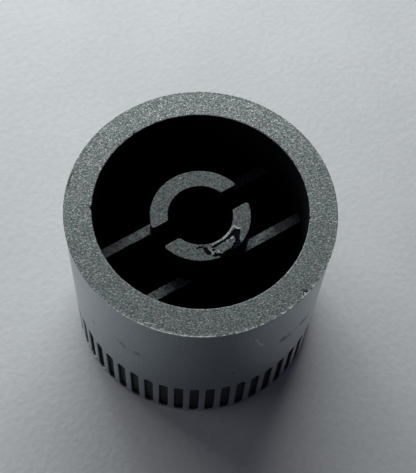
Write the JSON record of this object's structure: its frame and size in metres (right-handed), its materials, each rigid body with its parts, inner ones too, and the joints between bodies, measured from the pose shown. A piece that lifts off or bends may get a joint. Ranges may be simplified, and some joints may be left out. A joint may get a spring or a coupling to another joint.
{
  "type": "control knob",
  "caption": "Round push-on control knob, open at the back, with a split hub and webs inside and short grip flutes round its front end.",
  "frame": {"origin": "centre of the plain front face, on the shaft's axis", "axes": "+Z along the shaft's axis, out of the open back; X along the slot in the hub and parallel to the webs"},
  "size_m": [0.025, 0.025, 0.0214],
  "materials": {
    "painted_moulding": "black moulded plastic with fine metallic grey paint on the outside, the rim and the tops of the hub and webs"
  },
  "bodies": {
    "root": {"knob_body": "painted_moulding"}
  },
  "joints": []
}
